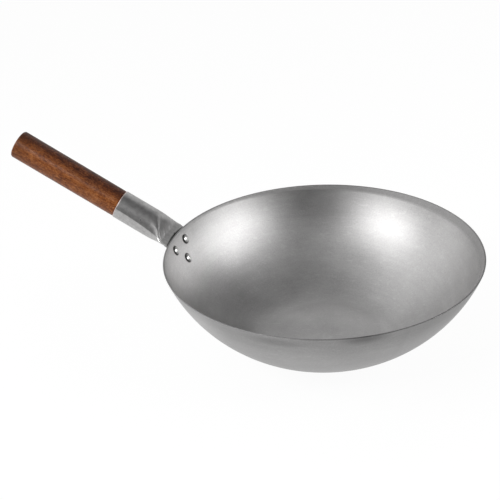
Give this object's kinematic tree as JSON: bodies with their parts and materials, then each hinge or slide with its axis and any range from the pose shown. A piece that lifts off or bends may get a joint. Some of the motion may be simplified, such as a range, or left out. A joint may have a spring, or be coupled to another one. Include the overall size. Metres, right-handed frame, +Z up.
{
  "type": "wok",
  "caption": "Round carbon steel wok with a small flat base and a straight wooden grip in a steel socket, whose flattened tongue is riveted to the outside of the wall.",
  "frame": {"origin": "centre of the flat base's underside", "axes": "+Z up, out of the bowl; the handle points along -X and rises; Y runs across, and the wok is the same on both sides of the XZ plane"},
  "size_m": [0.5504, 0.356, 0.2104],
  "materials": {
    "bowl_steel": "bare cold-rolled carbon steel, satin, with faint circular spinning marks",
    "socket_steel": "drawn steel tube, brushed along its length",
    "grip_wood": "reddish brown hardwood, straight-grained, varnished",
    "rivet_steel": "plain steel, polished by the closing tool",
    "screw_steel": "zinc plated"
  },
  "bodies": {
    "root": {"bowl": "bowl_steel", "handle_socket": "socket_steel", "wooden_grip": "grip_wood", "rivet_upper_left": "rivet_steel", "rivet_upper_right": "rivet_steel", "rivet_lower": "rivet_steel", "retaining_screw": "screw_steel"}
  },
  "joints": []
}
